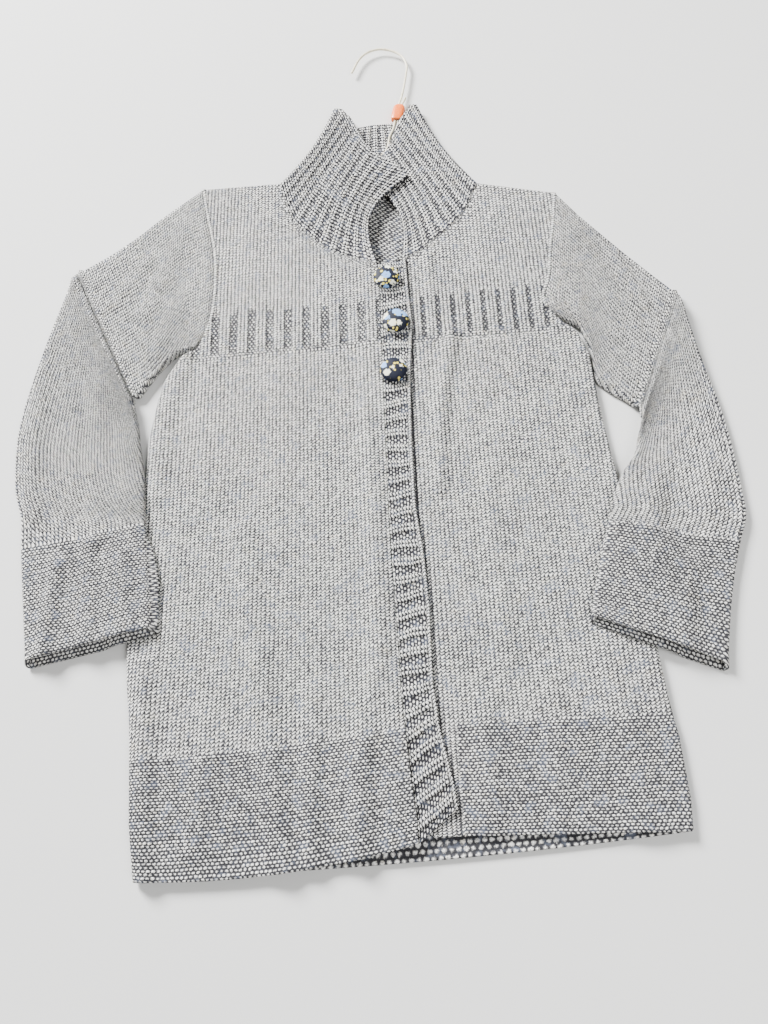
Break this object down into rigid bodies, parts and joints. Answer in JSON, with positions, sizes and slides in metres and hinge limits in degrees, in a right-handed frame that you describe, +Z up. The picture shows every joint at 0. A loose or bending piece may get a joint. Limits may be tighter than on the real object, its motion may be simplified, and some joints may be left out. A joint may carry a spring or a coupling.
{
  "type": "wool cardigan",
  "caption": "Long-sleeved knitted wool cardigan with a ribbed stand collar and a buttoned placket, laid flat on its back with a thin wire hanger in its neck.",
  "frame": {"origin": "centre of the outline, on the surface that the back lies on", "axes": "+Y from the hem to the collar and hook, +X to the wearer's left sleeve, +Z up out of the front"},
  "size_m": [0.5914, 0.7735, 0.0193],
  "materials": {
    "wool": "matte",
    "rib_wool": "matte",
    "print_cloth": "satin",
    "coated_wire": "satin",
    "clip_plastic": "gloss"
  },
  "bodies": {
    "root": {"back": "wool", "left_front": "wool", "right_front": "wool", "left_sleeve": "wool", "right_sleeve": "wool", "left_band": "rib_wool", "right_band": "rib_wool", "collar": "rib_wool", "button_1": "print_cloth", "button_2": "print_cloth", "button_3": "print_cloth", "hanger_hook_wire": "coated_wire", "hanger_arm_wire": "coated_wire", "hanger_clip": "clip_plastic"}
  },
  "joints": []
}
